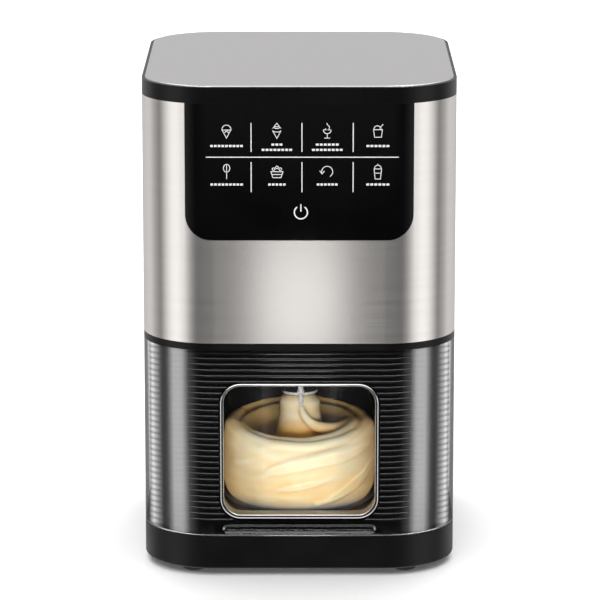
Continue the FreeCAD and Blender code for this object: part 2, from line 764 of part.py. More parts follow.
def rear_cover():
    solid = band(0, REAR_WALL, RING_TOP, SHELL_TOP)
    solid = solid.common(block(-REAR_HALF, REAR_HALF, 60, BACK + 1, RING_TOP, SHELL_TOP))
    cuts = [block(-INLET_HALF - GAP, INLET_HALF + GAP, 90, BACK + 1, INLET_Z[0] - GAP, INLET_Z[1] + GAP)]
    for x, z in REAR_SCREWS:
        cuts.append(pin_along_y(x, z, 1.25 + GAP, BACK - REAR_WALL, BACK))
        cuts.append(pin_along_y(x, z, 3.0 + GAP, BACK - 1.6, BACK))
    for row in range(9):
        z = 205.0 + 6.0 * row
        for x in (-24.0, 24.0):
            cuts.append(block(x - 18, x + 18, 90, BACK + 1, z, z + 3.0))
    return solid.cut(group(cuts))


def rear_screws():
    screws = []
    for x, z in REAR_SCREWS:
        head = pin_along_y(x, z, 3.0, BACK - 1.6, BACK - 0.1)
        screws.append(joined([head, pin_along_y(x, z, 1.25, BACK - 8.0, BACK - 1.6)]))
    return group(screws)


def top_band():
    pieces = [band(0, 1.7, SHELL_TOP, BAND_TOP), band(1.7, LEDGE_IN, SHELL_TOP, 282.5),
              band(TONGUE_OUT, TONGUE_IN, SHELL_TOP - TONGUE_H, SHELL_TOP)]
    return joined(pieces).cut(group(rear_screw_holes()))


def top_plate():
    return soften(prism(1.8, 282.5, TOP), 0.6, lies_at(TOP))


def control_panel():
    wall = band(0, PANEL_WALL, PANEL_LOW, SHELL_TOP)
    return wall.common(panel_cut(0))


def touch_board():
    return block(-54, 54, -100.0, -98.4, 205.0, 268.0)


BOARD_Y = 93.0


def power_board():
    return block(-50, 50, BOARD_Y, BOARD_Y + 1.6, 176.0, 266.0)


def board_parts():
    """Transformer, relay, heat sink and capacitors on the power board."""
    parts = [block(-34, -6, 70, BOARD_Y, 186.0, 210.0), block(10, 28, 78, BOARD_Y, 186.0, 204.0)]
    for x, z, radius, height in ((-38, 232, 8, 22), (-16, 232, 8, 22), (6, 226, 5, 14), (6, 246, 5, 14)):
        parts.append(pin_along_y(x, z, radius, BOARD_Y - height, BOARD_Y))
    sink = [block(24, 44, BOARD_Y - 3, BOARD_Y, 216.0, 256.0)]
    for k in range(5):
        x = 24.0 + 4.6 * k
        sink.append(block(x, x + 1.6, BOARD_Y - 18, BOARD_Y - 3, 216.0, 256.0))
    return group(parts + [joined(sink)])


def power_inlet():
    low, high = INLET_Z
    body = block(-INLET_HALF, INLET_HALF, INLET_BACK, BACK, low, high)
    wall = INLET_WALL
    return body.cut(block(-INLET_HALF + wall, INLET_HALF - wall, INLET_BACK + 4, BACK, low + wall, high - wall))


def inlet_pins():
    pins = []
    for x, z in ((-7.0, 156.0), (0.0, 160.0), (7.0, 156.0)):
        pins.append(block(x - 1, x + 1, INLET_BACK + 4, INLET_BACK + 17, z - 2, z + 2))
    return group(pins)


def reed_switch():
    return block(MAGNET_X - 4, MAGNET_X + 4, MAGNET_Y - 4, MAGNET_Y + 4, FLOOR_TOP, FLOOR_TOP + 4)


# ---- one file for each piece --------------------------------------------------------------------
PIECES = {
    "base_shell": base_shell, "base_plate": base_plate, "base_screws": base_screws, "feet": feet,
    "tub_seat": tub_seat, "seat_pad": seat_pad, "chamber_wall": chamber_wall, "ribbed_liner": ribbed_liner,
    "window_bezel": window_bezel, "clear_cover": clear_cover, "deck_plate": deck_plate, "deck_posts": deck_posts,
    "locating_pins": locating_pins, "interlock_magnet": interlock_magnet, "tub": tub, "ice_cream": ice_cream,
    "paddle_blades": paddle, "paddle_hub": paddle_hub, "spindle": spindle, "thrust_collars": thrust_collars,
    "carriage_yoke": carriage_yoke, "feed_nut": feed_nut, "spindle_bush": spindle_bush,
    "guide_rods": guide_rods, "lead_screw": lead_screw, "feed_rotor": feed_rotor,
    "feed_motor_can": feed_motor_can, "drive_gear": drive_gear, "idler_gear": idler_gear,
    "motor_pinion": motor_pinion, "idler_shaft": idler_shaft, "gear_bushes": gear_bushes,
    "lower_gear_plate": lower_gear_plate, "upper_gear_plate": upper_gear_plate, "plate_posts": plate_posts,
    "plate_screws": plate_screws, "motor_can": motor_can, "motor_end_bell": motor_end_bell,
    "motor_bushes": motor_bushes, "motor_magnets": motor_magnets, "motor_shaft": motor_shaft,
    "motor_armature": motor_armature, "cooling_fan": cooling_fan, "mid_ring": mid_ring,
    "head_floor": head_floor, "spindle_seal": spindle_seal, "splash_guard": splash_guard,
    "guard_seal": guard_seal, "steel_shell": steel_shell, "rear_cover": rear_cover, "rear_screws": rear_screws,
    "top_band": top_band, "top_plate": top_plate, "control_panel": control_panel, "touch_board": touch_board,
    "power_board": power_board, "board_parts": board_parts, "power_inlet": power_inlet,
    "inlet_pins": inlet_pins, "reed_switch": reed_switch,
}

os.makedirs("parts", exist_ok=True)
for name, make in PIECES.items():
    shape = make()
    solids = shape.Solids
    if not shape.isValid() or not solids:
        raise ValueError(name + " is not a valid solid")
    shape.exportStep("parts/" + name + ".step")
    print(name, len(solids), "solids", round(shape.Volume / 1000, 2), "cm3")
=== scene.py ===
"""Looks of the ice cream maker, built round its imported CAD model. Metres, +Z up, the front faces -Y."""
import json
import math

import bpy
import bmesh
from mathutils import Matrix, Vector, noise


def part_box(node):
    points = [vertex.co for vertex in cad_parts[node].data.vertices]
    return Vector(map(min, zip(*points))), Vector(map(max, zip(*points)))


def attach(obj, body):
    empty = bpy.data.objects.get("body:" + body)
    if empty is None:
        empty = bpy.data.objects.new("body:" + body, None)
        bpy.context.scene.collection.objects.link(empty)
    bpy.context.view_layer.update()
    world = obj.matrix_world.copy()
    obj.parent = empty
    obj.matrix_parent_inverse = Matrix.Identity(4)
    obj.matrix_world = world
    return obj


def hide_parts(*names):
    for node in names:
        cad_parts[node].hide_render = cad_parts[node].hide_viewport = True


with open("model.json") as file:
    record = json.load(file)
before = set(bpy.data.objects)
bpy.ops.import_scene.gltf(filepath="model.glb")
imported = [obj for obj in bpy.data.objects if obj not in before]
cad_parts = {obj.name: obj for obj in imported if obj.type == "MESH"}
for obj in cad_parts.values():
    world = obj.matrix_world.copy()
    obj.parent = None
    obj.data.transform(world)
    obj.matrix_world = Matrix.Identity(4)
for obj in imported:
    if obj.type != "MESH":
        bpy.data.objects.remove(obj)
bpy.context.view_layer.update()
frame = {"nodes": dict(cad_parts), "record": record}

MM = 0.001
NODES = frame["nodes"]


# ---- places worked out from the frame -----------------------------------------------------------
def span(node, axis):
    """Lowest and highest value of a CAD node along one axis, 0 to 2."""
    low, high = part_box(node)
    return low[axis], high[axis]


cover_low, cover_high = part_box("clear_cover")
HALF_W = cover_high.x
HALF_D = cover_high.y
FRONT = cover_low.y
CORNER_R = 41.5 * MM
COVER_WALL = 3.0 * MM
RIB_PITCH = 3.4 * MM
AXIS = Vector((0, sum(span("tub", 1)) / 2, 0))


def placed(name, data):
    """An object in the scene that holds some data."""
    made = bpy.data.objects.new(name, data)
    bpy.context.scene.collection.objects.link(made)
    return made


# ---- camera -------------------------------------------------------------------------------------
CAMERA_PITCH = math.radians(12.48)
CAMERA_DISTANCE = 2.199
CAMERA_LENS = 221.06
AIM = Vector((0.0004, 0, 0.1391))


def make_camera():
    data = bpy.data.cameras.new("camera")
    data.lens = CAMERA_LENS
    data.sensor_width = 36.0
    camera = placed("camera", data)
    back = Vector((0, -math.cos(CAMERA_PITCH), math.sin(CAMERA_PITCH)))
    camera.location = AIM + back * CAMERA_DISTANCE
    camera.rotation_mode = "QUATERNION"
    camera.rotation_quaternion = (-back).to_track_quat("-Z", "Y")
    bpy.context.scene.camera = camera


# ---- node helpers -------------------------------------------------------------------------------
class Graph:
    """A node tree with short calls to add and join nodes."""

    def __init__(self, tree):
        self.tree = tree
        tree.nodes.clear()

    def add(self, kind, inputs=None, **settings):
        node = self.tree.nodes.new("ShaderNode" + kind)
        for key, value in settings.items():
            setattr(node, key, value)
        for key, value in (inputs or {}).items():
            self.put(node, key, value)
        return node

    def put(self, node, key, value):
        """Sets an input, or joins it to another node's output."""
        socket = node.inputs[key]
        if isinstance(value, bpy.types.NodeSocket):
            self.tree.links.new(value, socket)
        else:
            socket.default_value = value

    def math(self, operation, a, b=0.0):
        return self.add("Math", {0: a, 1: b}, operation=operation).outputs[0]

    def product(self, first, *others):
        for other in others:
            first = self.math("MULTIPLY", first, other)
        return first

    def spread(self, value, low, high, to_low, to_high, smooth=False):
        """Maps a range to another, holding the ends."""
        node = self.add("MapRange", {0: value, 1: low, 2: high, 3: to_low, 4: to_high})
        node.interpolation_type = "SMOOTHSTEP" if smooth else "LINEAR"
        return node.outputs[0]

    def mix(self, factor, a, b):
        node = self.add("Mix", data_type="RGBA")
        for key, value in ((0, factor), (6, a), (7, b)):
            self.put(node, key, value)
        return node.outputs[2]

    def blend(self, factor, a, b):
        """A shader between two shaders."""
        node = self.add("MixShader", {0: factor})
        self.tree.links.new(a.outputs[0], node.inputs[1])
        self.tree.links.new(b.outputs[0], node.inputs[2])
        return node

    def place(self, scale=(1, 1, 1)):
        """Object coordinates, stretched by scale."""
        where = self.add("TexCoord")
        return self.add("Mapping", {"Vector": where.outputs["Object"], "Scale": scale}).outputs[0]

    def parts(self):
        """Object coordinates as three separate values."""
        return self.add("SeparateXYZ", {0: self.add("TexCoord").outputs["Object"]}).outputs

    def noise(self, where, scale, detail=3.0, roughness=0.5, distortion=0.0):
        inputs = {"Vector": where, "Scale": scale, "Detail": detail, "Roughness": roughness,
                  "Distortion": distortion}
        return self.add("TexNoise", inputs).outputs[0]

    def bump(self, height, distance, strength=1.0):
        return self.add("Bump", {"Height": height, "Distance": distance, "Strength": strength}).outputs[0]

    def ramp(self, value, *stops):
        """Colours along a value, from (position, colour) stops."""
        node = self.add("ValToRGB", {0: value})
        elements = node.color_ramp.elements
        while len(elements) < len(stops):
            elements.new(0.5)
        for element, (position, colour) in zip(elements, stops):
            element.position = position
            element.color = (*colour, 1)
        return node.outputs[0]


def grey(value):
    return (value, value, value, 1)


def levels(stops):
    """Stops of a colour ramp from (position, level) pairs."""
    return [(position, (level,) * 3) for position, level in stops]


def start(name):
    """A new material and its empty node tree."""
    made = bpy.data.materials.new(name)
    made.use_nodes = True
    graph = Graph(made.node_tree)
    return made, graph


def finish_surface(graph, shader):
    out = graph.add("OutputMaterial")
    graph.tree.links.new(shader.outputs[0], out.inputs["Surface"])


def moulded(name, colour, roughness, grain=0.35 * MM, depth=0.01 * MM, variation=0.25, **sockets):
    """Injection-moulded plastic or rubber: fine spark texture, faint mottling, uneven gloss."""
    made, g = start(name)
    where = g.place()
    fine = g.noise(where, 1 / grain, 2.0)
    broad = g.noise(where, 45.0, 3.0)
    dark = tuple(c * (1 - variation) for c in colour)
    light = tuple(c * (1 + variation) for c in colour)
    shade = g.mix(g.spread(broad, 0.3, 0.7, 0.0, 1.0), (*dark, 1), (*light, 1))
    shader = g.add("BsdfPrincipled", {
        "Base Color": shade,
        "Roughness": g.spread(g.math("ADD", fine, broad), 0.7, 1.3, roughness * 0.88, roughness * 1.12),
        "Normal": g.bump(fine, depth),
    })
    for key, value in sockets.items():
        shader.inputs[key.replace("_", " ")].default_value = value
    finish_surface(g, shader)
    return made


def metal(name, colour, roughness, marks, depth=0.002 * MM, streak=0.08, anisotropic=0.0, turn=0.0):
    """Worked metal. Its marks have the given lengths along x, y and z."""
    made, g = start(name)
    fine = g.noise(g.place(tuple(1 / m for m in marks)), 1.0, 3.0, 0.6)
    broad = g.noise(g.place(tuple(0.2 / m for m in marks)), 1.0, 2.0)
    both = g.math("ADD", g.product(fine, 0.6), g.product(broad, 0.4))
    dark = tuple(c * (1 - streak) for c in colour)
    light = tuple(min(1.0, c * (1 + streak)) for c in colour)
    shader = g.add("BsdfPrincipled", {
        "Base Color": g.mix(g.spread(both, 0.35, 0.65, 0.0, 1.0), (*dark, 1), (*light, 1)),
        "Metallic": 1.0,
        "Roughness": g.spread(both, 0.35, 0.65, roughness * 0.97, roughness * 1.03),
        "Anisotropic": anisotropic,
        "Anisotropic Rotation": turn,
    })
    if depth:
        g.put(shader, "Normal", g.bump(fine, depth))
    if anisotropic:
        tangent = g.add("Tangent", direction_type="RADIAL", axis="Z")
        g.put(shader, "Tangent", tangent.outputs[0])
    finish_surface(g, shader)
    return made


# the cosine of the eye's height over an upright face
EYE_TILT = 0.976
# painted rib lines across the cover's corner reflection: turns of slant, and how much of the reflection they
# take away
RIB_SLANT, RIB_SHADE = 9.0, 0.42
# the painted highlight along the cover's foot: how high it ends above its lowest edge, and the share it
# reflects
FOOT_LOW, FOOT_HIGH, FOOT_HIGHLIGHT_SHARE = 1.2 * MM, 1.8 * MM, 0.36


def clear(name, tint, rim, roughness, haze, by_facing, by_direction=None, frost=None, turned=(0.66, 0.74)):
    """Clear plastic: light goes straight through it, and its outer faces reflect part of it.

    rim is the tint where it is seen edge on, past the turned range. by_facing gives the reflected share as
    (how far the face turns away from the eye, share) pairs, and by_direction adds the corners' painted
    reflection, set by face direction, to it. frost is (low, high, haze) for a foot that is left matt.
    """
    made, g = start(name)
    wave = g.noise(g.place(), 28.0, 2.0)
    facing = g.add("LayerWeight", {"Blend": 0.5}).outputs["Facing"]
    surface = g.add("NewGeometry").outputs
    share = g.ramp(facing, *levels(by_facing))
    if by_direction:
        share = g.math("MAXIMUM", share, painted_corner_share(g, surface["Normal"], by_direction))
    share = g.product(share, g.math("SUBTRACT", 1.0, surface["Backfacing"]))
    gloss = g.add("BsdfGlossy", {
        "Color": (1, 1, 1, 1),
        "Roughness": g.spread(wave, 0.3, 0.7, roughness * 0.7, roughness * 1.3),
        "Normal": g.bump(wave, 0.05 * MM, 0.35),
    })
    edge = g.spread(facing, *turned, 0.0, 1.0)
    through = g.add("BsdfTransparent", {"Color": g.mix(edge, (*tint, 1), (*rim, 1))})
    body = g.add("BsdfDiffuse", {"Color": (0.8, 0.82, 0.85, 1)})
    if frost:
        low, high, most = frost
        haze = g.spread(g.parts()[2], low, high, most, haze, smooth=True)
    shader = g.blend(share, g.blend(haze, through, body), gloss)
    finish_surface(g, shader)
    return made


def painted_corner_share(g, normal, by_direction):
    """Share reflected by the cover's corners, painted by face direction, as (how far the face turns away from
    the front, share) pairs.

    Painted lines at the ribs' pitch cross it, and a painted highlight runs along the cover's foot.
    """
    normal = g.add("SeparateXYZ", {0: normal}).outputs
    height = g.parts()[2]
    aside = g.math("ADD", g.product(normal[1], EYE_TILT), 1.0)
    upright = g.spread(g.math("ABSOLUTE", normal[2]), 0.1, 0.3, 1.0, 0.0)
    # painted reflection: bright bands round the corners by face direction, crossed by painted lines at the
    # ribs' pitch
    turns = g.math("ADD", g.product(height, 2 * math.pi / RIB_PITCH), g.product(aside, RIB_SLANT))
    lines = g.product(g.spread(g.math("SINE", turns), -0.4, 0.9, 0.0, RIB_SHADE, smooth=True),
                      g.spread(aside, 0.32, 0.4, 0.12, 1.0))
    painted_corner_bands = g.product(g.ramp(aside, *levels(by_direction)), upright, g.math("SUBTRACT", 1.0, lines))
    foot = span("clear_cover", 2)[0]
    # painted highlight along the cover's foot: more reflection on upward faces near its lowest edge
    edges = g.product(g.spread(normal[2], 0.15, 0.4, 0.0, FOOT_HIGHLIGHT_SHARE),
                      g.spread(height, foot + FOOT_LOW, foot + FOOT_HIGH, 1.0, 0.12))
    return g.math("MAXIMUM", painted_corner_bands, edges)


def trim_material():
    """Polished trim, with painted shade inside its tunnel."""
    made, g = start("bright_trim")
    fine = g.noise(g.place(), 1250.0, 3.0, 0.6)
    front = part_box("window_bezel")[0].y
    # painted shade: a dark bluish colour inside the tunnel behind the bead
    tunnel = g.spread(g.parts()[1], front + 0.5 * MM, front + 1.2 * MM, 0.0, 1.0)
    bright = g.mix(fine, (0.8, 0.79, 0.78, 1), (0.86, 0.85, 0.84, 1))
    shader = g.add("BsdfPrincipled", {
        "Base Color": g.mix(tunnel, bright, (0.17, 0.2, 0.27, 1)),
        "Metallic": 1.0,
        "Roughness": g.spread(fine, 0.3, 0.7, 0.1, 0.14),
    })
    finish_surface(g, shader)
    return made


# where the paddle hub's painted highlights go: its driving pin (its middle, half width and back) and its
# lower rim (its start and top)
PIN_X, PIN_HALF, PIN_BACK = 0.8 * MM, 2.0 * MM, -53.4 * MM
RIM_START, RIM_TOP = 9.8 * MM, 95.9 * MM


def hub_material():
    """Turned hub of the paddle: dark above, with painted highlights on its lower rim and its driving pin."""
    made, g = start("hub_metal")

    def within(value, limit, soft):
        return g.spread(value, limit - soft, limit + soft, 1.0, 0.0)

    fine = g.noise(g.place(), 900.0, 3.0, 0.6)
    parts = g.parts()
    across = g.math("ABSOLUTE", g.math("ADD", parts[0], -PIN_X))
    # painted highlights: bright colour on the driving pin and along the lower rim
    pin = g.product(within(across, PIN_HALF, 0.1 * MM), within(parts[1], PIN_BACK, 0.2 * MM))
    rim = g.product(within(parts[2], RIM_TOP, 0.2 * MM), within(across, RIM_START, 0.8 * MM))
    shader = g.add("BsdfPrincipled", {
        "Base Color": g.mix(g.math("MAXIMUM", pin, rim), (0.025, 0.025, 0.025, 1), (0.95, 0.94, 0.93, 1)),
        "Metallic": 0.4,
        "Roughness": g.spread(fine, 0.3, 0.7, 0.22, 0.32),
    })
    finish_surface(g, shader)
    return made


# ---- materials, one for each slot of the record -------------------------------------------------
def dessert_material():
    """Whipped frozen dessert, pale cream, with painted shade: golden in its creases, in the hollow round its
    peak and towards its back, and darker low on its sides. A painted glow warms its creases and its two
    sides.
    """
    made, g = start("dessert")
    where = g.place()
    broad = g.noise(where, 42.0, 4.0, 0.55, 0.8)
    fine = g.noise(where, 420.0, 3.0, 0.6)
    parts = g.parts()
    point = g.add("NewGeometry").outputs["Pointiness"]
    # painted shade by pointiness: paler on the ridges, darker and more golden in the creases
    painted_ridge_light = g.spread(point, 0.46, 0.53, 0.0, 1.0)
    away = g.math("ADD", parts[1], -AXIS.y)
    reach = g.math("SQRT", g.math("ADD", g.product(parts[0], parts[0]), g.product(away, away)))
    # painted shade: golden in the hollow round the peak and towards the back
    bowl = g.product(g.spread(reach, 24 * MM, 33 * MM, 1.0, 0.0, smooth=True),
                     g.spread(parts[2], 70 * MM, 84 * MM, 1.0, 0.0, smooth=True))
    back = g.spread(away, -16 * MM, 14 * MM, 0.0, 0.75, smooth=True)
    painted_hollow_shade = g.math("MAXIMUM", bowl, back)
    # painted shade: darker towards the bottom of the sides
    foot = g.spread(parts[2], 42 * MM, 60 * MM, 0.2, 0.0, smooth=True)
    value = g.math("ADD", g.product(painted_ridge_light, 0.62), g.product(broad, 0.5))
    value = g.math("SUBTRACT", value, foot)
    # painted glow in its creases and at its two sides, standing in for light scattered back out of the
    # dessert
    painted_crease_glow = g.product(g.spread(point, 0.42, 0.495, 0.3, 0.0), g.math("SUBTRACT", 1.0, painted_hollow_shade))
    side = g.product(g.spread(g.math("ABSOLUTE", parts[0]), 22 * MM, 45 * MM, 0.0, 0.28, smooth=True),
                     g.spread(away, -12 * MM, 6 * MM, 1.0, 0.0, smooth=True))
    # the cream from its creases to its ridges, and the golden of the painted shade in the hollow and at the
    # back
    pale = g.ramp(value, (0.05, (0.9, 0.49, 0.14)), (0.36, (0.97, 0.7, 0.35)), (0.7, (1.0, 0.86, 0.6)))
    shade_golden = g.ramp(value, (0.2, (0.36, 0.16, 0.006)), (0.8, (0.8, 0.46, 0.07)))
    shader = g.add("BsdfPrincipled", {
        "Base Color": g.mix(painted_hollow_shade, pale, shade_golden),
        "Roughness": g.spread(fine, 0.3, 0.7, 0.34, 0.5),
        # colour of the painted glow
        "Emission Color": (0.98, 0.62, 0.24, 1),
        "Emission Strength": g.math("MAXIMUM", side, painted_crease_glow),
        "Specular IOR Level": 0.3,
        "Subsurface Weight": 0.4,
        "Subsurface Radius": (1.0, 0.6, 0.25),
        "Subsurface Scale": 3 * MM,
        "Normal": g.bump(g.math("ADD", fine, g.product(broad, 2.0)), 0.12 * MM, 0.4),
    })
    finish_surface(g, shader)
    return made


def board_material():
    """Circuit board: solder mask over a grid of tracks and pads."""
    made, g = start("board_green")
    where = g.place()
    cells = g.add("TexVoronoi", {"Vector": where, "Scale": 420.0, "Randomness": 0.35}, distance="CHEBYCHEV")
    tracks = g.add("TexBrick", {"Vector": where, "Scale": 160.0, "Mortar Size": 0.05})
    pads = g.spread(cells.outputs["Distance"], 0.18, 0.24, 1.0, 0.0)
    board = g.mix(tracks.outputs["Fac"], (0.012, 0.11, 0.035, 1), (0.03, 0.2, 0.07, 1))
    shader = g.add("BsdfPrincipled", {
        "Base Color": g.mix(pads, board, (0.6, 0.52, 0.3, 1)),
        "Metallic": pads,
        "Roughness": g.spread(g.noise(where, 900.0), 0.3, 0.7, 0.25, 0.4),
    })
    finish_surface(g, shader)
    return made


def glass_panel_material():
    """Black glass, faintly smeared."""
    made, g = start("panel_glass")
    where = g.place()
    smear = g.noise(where, 18.0, 4.0, 0.6, 0.8)
    shader = g.add("BsdfPrincipled", {
        "Base Color": g.mix(smear, (0.0006, 0.0006, 0.0007, 1), (0.0014, 0.0014, 0.0016, 1)),
        "Roughness": g.spread(smear, 0.3, 0.7, 0.06, 0.12),
        "Specular IOR Level": 0.25,
        "Normal": g.bump(smear, 0.02 * MM, 0.2),
    })
    finish_surface(g, shader)
    return made


# lengths of a metal's marks along x, y and z
BRUSHED = (90 * MM, 90 * MM, 0.55 * MM)
EVEN = (0.8 * MM, 0.8 * MM, 0.8 * MM)
TURNED = (3 * MM, 3 * MM, 0.3 * MM)
# share that a clear face reflects, as (how far it turns away, share) pairs
PLAIN_GLOSS = [(0.0, 0.04), (0.3, 0.05), (0.66, 0.08), (0.88, 0.1), (0.94, 0.25), (1.0, 0.9)]
# the corners' painted reflection: bright bands set by the direction a face points
CORNER_GLOSS = [(0.0, 0.0), (0.08, 0.0), (0.125, 0.25), (0.2, 0.26), (0.25, 0.1), (0.3, 0.0), (0.36, 0.25),
                (0.42, 0.6), (0.52, 0.9), (0.57, 0.55), (0.66, 0.06), (0.9, 0.05), (1.0, 0.0)]
TUB_GLOSS = [(0.0, 0.02), (0.5, 0.03), (0.76, 0.06), (1.0, 0.9)]
MATERIALS = {
    "black_plastic": moulded("black_plastic", (0.0016, 0.0016, 0.0017), 0.4, Specular_IOR_Level=0.2),
    "seam_plastic": moulded("seam_plastic", (0.001, 0.001, 0.0011), 0.34, depth=0.004 * MM,
                            Specular_IOR_Level=0.2),
    "foot_rubber": moulded("foot_rubber", (0.012, 0.012, 0.012), 0.75, 0.6 * MM, 0.03 * MM),
    "silicone": moulded("silicone", (0.3, 0.31, 0.32), 0.5, 0.8 * MM),
    "grey_plastic": moulded("grey_plastic", (0.42, 0.43, 0.45), 0.4),
    "chamber_plastic": moulded("chamber_plastic", (0.02, 0.02, 0.023), 0.25, depth=0.002 * MM),
    "liner_plastic": moulded("liner_plastic", (0.0006, 0.0006, 0.0009), 0.1, depth=0.0003 * MM,
                             Specular_IOR_Level=0.48),
    "clear_plastic": clear("clear_plastic", (0.985, 0.985, 0.99), (0.32, 0.32, 0.33), 0.06, 0.0003,
                           PLAIN_GLOSS, CORNER_GLOSS),
    "tub_plastic": clear("tub_plastic", (0.99, 0.99, 0.985), (0.5, 0.49, 0.47), 0.05, 0.004, TUB_GLOSS,
                         frost=(32 * MM, 40 * MM, 0.26), turned=(0.76, 0.88)),
    "bright_trim": trim_material(),
    "dessert": dessert_material(),
    "brushed_steel": metal("brushed_steel", (0.665, 0.636, 0.612), 0.26, BRUSHED, 0, 0.03, 0.85, 0.25),
    "top_metal": metal("top_metal", (0.6, 0.585, 0.585), 0.34, EVEN, 0.001 * MM, 0.02),
    "panel_glass": glass_panel_material(),
    "machined_steel": metal("machined_steel", (0.6, 0.6, 0.6), 0.25, TURNED),
    "cast_aluminium": metal("cast_aluminium", (0.6, 0.61, 0.62), 0.45, EVEN, 0.03 * MM),
    "bearing_bronze": metal("bearing_bronze", (0.55, 0.36, 0.16), 0.32, TURNED),
    "nylon": moulded("nylon", (0.72, 0.69, 0.6), 0.4, Subsurface_Weight=0.1),
    "paddle_plastic": moulded("paddle_plastic", (0.02, 0.02, 0.022), 0.3),
    "motor_paint": moulded("motor_paint", (0.05, 0.05, 0.055), 0.35, 0.7 * MM, 0.02 * MM),
    "magnet_grey": moulded("magnet_grey", (0.1, 0.1, 0.11), 0.55, Metallic=0.6),
    "board_green": board_material(),
    "component_black": moulded("component_black", (0.02, 0.02, 0.022), 0.45),
}


# CAD nodes that look different from the rest of their slot
NODE_MATERIALS = {
    "tub_seat": moulded("seat_plastic", (0.2, 0.21, 0.23), 0.3, depth=0.002 * MM),
    "paddle_hub": hub_material(),
}


def dress_cad_nodes():
    """Gives every CAD node its own material or its slot's."""
    for part in frame["record"]["subparts"]:
        mesh = NODES[part["node"]].data
        mesh.materials.clear()
        mesh.materials.append(NODE_MATERIALS.get(part["node"]) or MATERIALS[part["material_slot"]])


# ---- mesh helpers -------------------------------------------------------------------------------
SHARP = math.radians(38)
COVER_SHARP = math.radians(20)
CORNER_STEPS = 14
WINDOW_STEPS = 12
WINDOW_R = 12.0 * MM


def piece(name, mesh, slot, body, *replaced):
    """An object on a body, with its slot's material, standing for the CAD nodes that it replaces."""
    made = placed(name, mesh)
    mesh.materials.append(MATERIALS[slot])
    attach(made, body)
    if replaced:
        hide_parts(*replaced)
    return made


def grid_mesh(name, rows, close_rows=True, close_columns=False, smooth=True):
    """A mesh over rows of points, each row closed into a loop if close_rows."""
    mesh = bpy.data.meshes.new(name)
    width = len(rows[0])
    points = [p for row in rows for p in row]
    faces = []
    for i in range(len(rows) if close_columns else len(rows) - 1):
        following = (i + 1) % len(rows)
        for j in range(width if close_rows else width - 1):
            k = (j + 1) % width
            faces.append((i * width + j, i * width + k, following * width + k, following * width + j))
    mesh.from_pydata(points, [], faces)
    if smooth:
        mesh.shade_smooth()
    else:
        mesh.shade_flat()
    return mesh


def outline(inset):
    """Points round the body's rounded rectangle, moved inwards, anticlockwise from the front right."""
    points = []
    radius = CORNER_R - inset
    corners = [(1, -1, -90), (1, 1, 0), (-1, 1, 90), (-1, -1, 180)]
    for sign_x, sign_y, first in corners:
        cx, cy = sign_x * (HALF_W - CORNER_R), sign_y * (HALF_D - CORNER_R)
        for k in range(CORNER_STEPS + 1):
            turn = math.radians(first + 90.0 * k / CORNER_STEPS)
            points.append(Vector((cx + radius * math.cos(turn), cy + radius * math.sin(turn))))
    return points


def sweep(name, profile):
    """A band round the body from a closed profile of (inset, height) points."""
    rows = []
    for inset, height in profile:
        rows.append([(p.x, p.y, height) for p in outline(inset)])
    return grid_mesh(name, rows, close_columns=True)


def window_outline(grow, y):
    """The window's rounded rectangle seen from the front, grown by grow, at a depth."""
    low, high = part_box("window_bezel")
    radius = WINDOW_R + grow
    points = []
    for sign_x, z, first in ((1, high.z, 0), (-1, high.z, 90), (-1, low.z, 180), (1, low.z, 270)):
        cx = sign_x * (high.x + grow - radius)
        cz = z - radius + grow if z == high.z else z + radius - grow
        for k in range(WINDOW_STEPS + 1):
            turn = math.radians(first + 90.0 * k / WINDOW_STEPS)
            points.append((cx + radius * math.cos(turn), y, cz + radius * math.sin(turn)))
    return points


def face_outwards(mesh):
    """Turns a closed mesh's faces outwards."""
    bm = bmesh.new()
    bm.from_mesh(mesh)
    bmesh.ops.recalc_face_normals(bm, faces=bm.faces)
    bm.to_mesh(mesh)
    bm.free()
    return mesh


def solid_from_loops(name, loops):
    """A closed solid through a row of loops, with its first and last loop capped."""
    mesh = grid_mesh(name, loops, smooth=False)
    bm = bmesh.new()
    bm.from_mesh(mesh)
    bm.verts.ensure_lookup_table()
    width = len(loops[0])
    bm.faces.new(bm.verts[:width])
    bm.faces.new(bm.verts[-width:])
    bmesh.ops.recalc_face_normals(bm, faces=bm.faces)
    bm.to_mesh(mesh)
    bm.free()
    return mesh


def cut_through(target, cutter_mesh):
    """Cuts a solid out of an object's mesh."""
    cutter = placed("cutter", cutter_mesh)
    modifier = target.modifiers.new("cut", "BOOLEAN")
    modifier.operation, modifier.object, modifier.solver = "DIFFERENCE", cutter, "EXACT"
    made = bpy.data.meshes.new_from_object(target.evaluated_get(bpy.context.evaluated_depsgraph_get()))
    target.modifiers.clear()
    target.data = made
    bpy.data.objects.remove(cutter)


# ---- ribbed liner -------------------------------------------------------------------------------
# the lowest rib's height, a rib's own height and how much of it is rounded off, and the sleeve's insets at
# its ribs' tips, between them and at its back
RIB_FIRST = 31.3 * MM
RIB_HEIGHT = 1.7 * MM
RIB_ROUND = 0.75 * MM
LINER_TIP, LINER_ROOT, LINER_BACK = 3.3 * MM, 4.4 * MM, 6.2 * MM
WINDOW_GAP = 0.8 * MM


